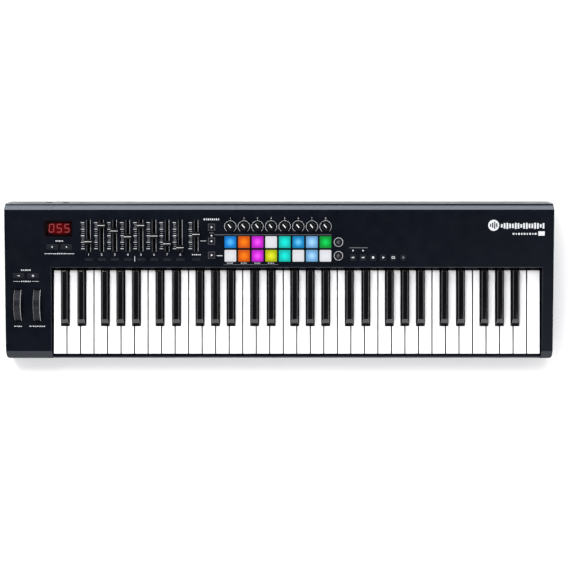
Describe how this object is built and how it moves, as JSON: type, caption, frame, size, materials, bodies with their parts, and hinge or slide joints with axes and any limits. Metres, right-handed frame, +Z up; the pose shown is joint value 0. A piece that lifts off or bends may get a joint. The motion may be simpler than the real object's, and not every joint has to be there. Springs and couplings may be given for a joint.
{
  "type": "synthesizer controller keyboard",
  "caption": "Slim desktop keyboard controller with full-size keys, lit drum pads, rotary knobs, slide faders, two performance wheels, buttons and a small numeric display.",
  "frame": {"origin": "on the surface that the feet stand on, under the middle of the case", "axes": "+X to the player's right, +Y to the rear, +Z up"},
  "size_m": [0.95, 0.274, 0.0774],
  "materials": {
    "case_plastic": "fine-textured moulded plastic",
    "base_plastic": "textured moulded plastic",
    "rear_plastic": "satin moulded plastic",
    "white_key": "polished moulded plastic",
    "black_key": "satin moulded plastic",
    "frame_plastic": "moulded plastic",
    "rod_steel": "ground steel",
    "circuit_board": "solder-masked board",
    "dome_silicone": "moulded silicone",
    "felt": "pressed felt",
    "pot_body": "plated sheet steel",
    "display_body": "filled epoxy block",
    "display_window": "red tinted window",
    "socket_metal": "nickel plated",
    "jack_plastic": "moulded plastic",
    "foot_rubber": "matt rubber",
    "screw_steel": "blackened steel",
    "fader_cap": "satin moulded plastic",
    "knob_rubber": "soft-touch rubber",
    "pad_silicone": "translucent silicone, lit from below",
    "button_rubber": "moulded silicone",
    "wheel_rubber": "soft-touch rubber over plastic"
  },
  "bodies": {
    "case": {"top_case": "case_plastic", "bottom_case": "base_plastic", "rear_panel": "rear_plastic", "keybed_frame": "frame_plastic", "key_pivot_rod": "rod_steel", "key_contact_board": "circuit_board", "key_domes": "dome_silicone", "key_felts": "felt", "circuit_boards": "circuit_board", "slide_pots": "pot_body", "rotary_pots": "pot_body", "display_module": "display_body", "display_window": "display_window", "wheel_bracket": "frame_plastic", "usb_socket": "socket_metal", "pedal_jack": "jack_plastic", "rubber_feet": "foot_rubber", "case_screws": "screw_steel"},
    "white_keys_ceg_1": {"white_keys_ceg_1": "white_key"},
    "white_keys_dfa_1": {"white_keys_dfa_1": "white_key"},
    "black_keys_1": {"black_keys_1": "black_key"},
    "white_keys_ceg_2": {"white_keys_ceg_2": "white_key"},
    "white_keys_dfa_2": {"white_keys_dfa_2": "white_key"},
    "black_keys_2": {"black_keys_2": "black_key"},
    "white_keys_ceg_3": {"white_keys_ceg_3": "white_key"},
    "white_keys_dfa_3": {"white_keys_dfa_3": "white_key"},
    "black_keys_3": {"black_keys_3": "black_key"},
    "white_keys_ceg_4": {"white_keys_ceg_4": "white_key"},
    "white_keys_dfa_4": {"white_keys_dfa_4": "white_key"},
    "black_keys_4": {"black_keys_4": "black_key"},
    "white_keys_ceg_5": {"white_keys_ceg_5": "white_key"},
    "white_keys_dfa_5": {"white_keys_dfa_5": "white_key"},
    "black_keys_5": {"black_keys_5": "black_key"},
    "pitch_wheel": {"pitch_wheel": "wheel_rubber"},
    "mod_wheel": {"mod_wheel": "wheel_rubber"},
    "fader_1": {"fader_1": "fader_cap"},
    "fader_2": {"fader_2": "fader_cap"},
    "fader_3": {"fader_3": "fader_cap"},
    "fader_4": {"fader_4": "fader_cap"},
    "fader_5": {"fader_5": "fader_cap"},
    "fader_6": {"fader_6": "fader_cap"},
    "fader_7": {"fader_7": "fader_cap"},
    "fader_8": {"fader_8": "fader_cap"},
    "fader_9": {"fader_9": "fader_cap"},
    "knob_1": {"knob_1": "knob_rubber"},
    "knob_2": {"knob_2": "knob_rubber"},
    "knob_3": {"knob_3": "knob_rubber"},
    "knob_4": {"knob_4": "knob_rubber"},
    "knob_5": {"knob_5": "knob_rubber"},
    "knob_6": {"knob_6": "knob_rubber"},
    "knob_7": {"knob_7": "knob_rubber"},
    "knob_8": {"knob_8": "knob_rubber"},
    "pads_upper_row": {"pads_upper_row": "pad_silicone"},
    "pads_lower_row": {"pads_lower_row": "pad_silicone"},
    "fader_buttons": {"fader_buttons": "button_rubber"},
    "transport_buttons": {"transport_buttons": "button_rubber"},
    "track_buttons": {"track_buttons": "button_rubber"},
    "octave_buttons": {"octave_buttons": "button_rubber"},
    "scene_buttons": {"scene_buttons": "button_rubber"},
    "page_buttons": {"page_buttons": "button_rubber"}
  },
  "joints": [
    {"name": "white_keys_ceg_1_press", "type": "hinge", "parent": "case", "child": "white_keys_ceg_1", "pos_m": [0.0305, 0.05, 0.037], "axis": [1, 0, 0], "range_deg": [0, 3.2], "stiffness_Nm_per_rad": 2.48, "springref_deg": -6.88},
    {"name": "white_keys_dfa_1_press", "type": "hinge", "parent": "case", "child": "white_keys_dfa_1", "pos_m": [0.0305, 0.05, 0.037], "axis": [1, 0, 0], "range_deg": [0, 3.2], "stiffness_Nm_per_rad": 1.86, "springref_deg": -6.88},
    {"name": "black_keys_1_press", "type": "hinge", "parent": "case", "child": "black_keys_1", "pos_m": [0.0305, 0.05, 0.037], "axis": [1, 0, 0], "range_deg": [0, 3.2], "stiffness_Nm_per_rad": 3.1, "springref_deg": -6.88},
    {"name": "white_keys_ceg_2_press", "type": "hinge", "parent": "case", "child": "white_keys_ceg_2", "pos_m": [0.0305, 0.05, 0.037], "axis": [1, 0, 0], "range_deg": [0, 3.2], "stiffness_Nm_per_rad": 2.48, "springref_deg": -6.88},
    {"name": "white_keys_dfa_2_press", "type": "hinge", "parent": "case", "child": "white_keys_dfa_2", "pos_m": [0.0305, 0.05, 0.037], "axis": [1, 0, 0], "range_deg": [0, 3.2], "stiffness_Nm_per_rad": 1.86, "springref_deg": -6.88},
    {"name": "black_keys_2_press", "type": "hinge", "parent": "case", "child": "black_keys_2", "pos_m": [0.0305, 0.05, 0.037], "axis": [1, 0, 0], "range_deg": [0, 3.2], "stiffness_Nm_per_rad": 3.1, "springref_deg": -6.88},
    {"name": "white_keys_ceg_3_press", "type": "hinge", "parent": "case", "child": "white_keys_ceg_3", "pos_m": [0.0305, 0.05, 0.037], "axis": [1, 0, 0], "range_deg": [0, 3.2], "stiffness_Nm_per_rad": 2.48, "springref_deg": -6.88},
    {"name": "white_keys_dfa_3_press", "type": "hinge", "parent": "case", "child": "white_keys_dfa_3", "pos_m": [0.0305, 0.05, 0.037], "axis": [1, 0, 0], "range_deg": [0, 3.2], "stiffness_Nm_per_rad": 1.86, "springref_deg": -6.88},
    {"name": "black_keys_3_press", "type": "hinge", "parent": "case", "child": "black_keys_3", "pos_m": [0.0305, 0.05, 0.037], "axis": [1, 0, 0], "range_deg": [0, 3.2], "stiffness_Nm_per_rad": 3.1, "springref_deg": -6.88},
    {"name": "white_keys_ceg_4_press", "type": "hinge", "parent": "case", "child": "white_keys_ceg_4", "pos_m": [0.0305, 0.05, 0.037], "axis": [1, 0, 0], "range_deg": [0, 3.2], "stiffness_Nm_per_rad": 2.48, "springref_deg": -6.88},
    {"name": "white_keys_dfa_4_press", "type": "hinge", "parent": "case", "child": "white_keys_dfa_4", "pos_m": [0.0305, 0.05, 0.037], "axis": [1, 0, 0], "range_deg": [0, 3.2], "stiffness_Nm_per_rad": 1.86, "springref_deg": -6.88},
    {"name": "black_keys_4_press", "type": "hinge", "parent": "case", "child": "black_keys_4", "pos_m": [0.0305, 0.05, 0.037], "axis": [1, 0, 0], "range_deg": [0, 3.2], "stiffness_Nm_per_rad": 3.1, "springref_deg": -6.88},
    {"name": "white_keys_ceg_5_press", "type": "hinge", "parent": "case", "child": "white_keys_ceg_5", "pos_m": [0.0305, 0.05, 0.037], "axis": [1, 0, 0], "range_deg": [0, 3.2], "stiffness_Nm_per_rad": 3.1, "springref_deg": -6.88},
    {"name": "white_keys_dfa_5_press", "type": "hinge", "parent": "case", "child": "white_keys_dfa_5", "pos_m": [0.0305, 0.05, 0.037], "axis": [1, 0, 0], "range_deg": [0, 3.2], "stiffness_Nm_per_rad": 1.86, "springref_deg": -6.88},
    {"name": "black_keys_5_press", "type": "hinge", "parent": "case", "child": "black_keys_5", "pos_m": [0.0305, 0.05, 0.037], "axis": [1, 0, 0], "range_deg": [0, 3.2], "stiffness_Nm_per_rad": 3.1, "springref_deg": -6.88},
    {"name": "pitch_wheel_turn", "type": "hinge", "parent": "case", "child": "pitch_wheel", "pos_m": [-0.4534, -0.0431, 0.02726], "axis": [1, 0, 0], "range_deg": [-32, 32], "stiffness_Nm_per_rad": 0.08},
    {"name": "mod_wheel_turn", "type": "hinge", "parent": "case", "child": "mod_wheel", "pos_m": [-0.42, -0.0431, 0.02726], "axis": [1, 0, 0], "range_deg": [-34, 34]},
    {"name": "fader_1_slide", "type": "slide", "parent": "case", "child": "fader_1", "axis": [0, 0.9973, 0.0732], "range_m": [-0.0126, 0.0324]},
    {"name": "fader_2_slide", "type": "slide", "parent": "case", "child": "fader_2", "axis": [0, 0.9973, 0.0732], "range_m": [-0.0405, 0.0045]},
    {"name": "fader_3_slide", "type": "slide", "parent": "case", "child": "fader_3", "axis": [0, 0.9973, 0.0732], "range_m": [-0.03105, 0.01395]},
    {"name": "fader_4_slide", "type": "slide", "parent": "case", "child": "fader_4", "axis": [0, 0.9973, 0.0732], "range_m": [-0.02115, 0.02385]},
    {"name": "fader_5_slide", "type": "slide", "parent": "case", "child": "fader_5", "axis": [0, 0.9973, 0.0732], "range_m": [-0.0405, 0.0045]},
    {"name": "fader_6_slide", "type": "slide", "parent": "case", "child": "fader_6", "axis": [0, 0.9973, 0.0732], "range_m": [-0.0225, 0.0225]},
    {"name": "fader_7_slide", "type": "slide", "parent": "case", "child": "fader_7", "axis": [0, 0.9973, 0.0732], "range_m": [-0.009, 0.036]},
    {"name": "fader_8_slide", "type": "slide", "parent": "case", "child": "fader_8", "axis": [0, 0.9973, 0.0732], "range_m": [-0.00225, 0.04275]},
    {"name": "fader_9_slide", "type": "slide", "parent": "case", "child": "fader_9", "axis": [0, 0.9973, 0.0732], "range_m": [-0.0252, 0.0198]},
    {"name": "knob_1_turn", "type": "hinge", "parent": "case", "child": "knob_1", "pos_m": [-0.0845, 0.09145, 0.06422], "axis": [0, -0.0732, 0.9973], "range_deg": [-187, 113]},
    {"name": "knob_2_turn", "type": "hinge", "parent": "case", "child": "knob_2", "pos_m": [-0.061, 0.09145, 0.06422], "axis": [0, -0.0732, 0.9973], "range_deg": [-187, 113]},
    {"name": "knob_3_turn", "type": "hinge", "parent": "case", "child": "knob_3", "pos_m": [-0.0375, 0.09145, 0.06422], "axis": [0, -0.0732, 0.9973], "range_deg": [-187, 113]},
    {"name": "knob_4_turn", "type": "hinge", "parent": "case", "child": "knob_4", "pos_m": [-0.014, 0.09145, 0.06422], "axis": [0, -0.0732, 0.9973], "range_deg": [-187, 113]},
    {"name": "knob_5_turn", "type": "hinge", "parent": "case", "child": "knob_5", "pos_m": [0.0095, 0.09145, 0.06422], "axis": [0, -0.0732, 0.9973], "range_deg": [-187, 113]},
    {"name": "knob_6_turn", "type": "hinge", "parent": "case", "child": "knob_6", "pos_m": [0.033, 0.09145, 0.06422], "axis": [0, -0.0732, 0.9973], "range_deg": [-187, 113]},
    {"name": "knob_7_turn", "type": "hinge", "parent": "case", "child": "knob_7", "pos_m": [0.0565, 0.09145, 0.06422], "axis": [0, -0.0732, 0.9973], "range_deg": [-187, 113]},
    {"name": "knob_8_turn", "type": "hinge", "parent": "case", "child": "knob_8", "pos_m": [0.08, 0.09145, 0.06422], "axis": [0, -0.0732, 0.9973], "range_deg": [-187, 113]},
    {"name": "pads_upper_row_press", "type": "slide", "parent": "case", "child": "pads_upper_row", "axis": [0, -0.0732, 0.9973], "range_m": [-0.001, 0], "stiffness_N_per_m": 3000, "springref_m": 0.0005},
    {"name": "pads_lower_row_press", "type": "slide", "parent": "case", "child": "pads_lower_row", "axis": [0, -0.0732, 0.9973], "range_m": [-0.001, 0], "stiffness_N_per_m": 3000, "springref_m": 0.0005},
    {"name": "fader_buttons_press", "type": "slide", "parent": "case", "child": "fader_buttons", "axis": [0, -0.0732, 0.9973], "range_m": [-0.0008, 0], "stiffness_N_per_m": 900, "springref_m": 0.0005},
    {"name": "transport_buttons_press", "type": "slide", "parent": "case", "child": "transport_buttons", "axis": [0, -0.0732, 0.9973], "range_m": [-0.0008, 0], "stiffness_N_per_m": 900, "springref_m": 0.0005},
    {"name": "track_buttons_press", "type": "slide", "parent": "case", "child": "track_buttons", "axis": [0, -0.0732, 0.9973], "range_m": [-0.0008, 0], "stiffness_N_per_m": 900, "springref_m": 0.0005},
    {"name": "octave_buttons_press", "type": "slide", "parent": "case", "child": "octave_buttons", "axis": [0, -0.0732, 0.9973], "range_m": [-0.0008, 0], "stiffness_N_per_m": 900, "springref_m": 0.0005},
    {"name": "scene_buttons_press", "type": "slide", "parent": "case", "child": "scene_buttons", "axis": [0, -0.0732, 0.9973], "range_m": [-0.0008, 0], "stiffness_N_per_m": 900, "springref_m": 0.0005},
    {"name": "page_buttons_press", "type": "slide", "parent": "case", "child": "page_buttons", "axis": [0, -0.0732, 0.9973], "range_m": [-0.0008, 0], "stiffness_N_per_m": 900, "springref_m": 0.0005}
  ]
}
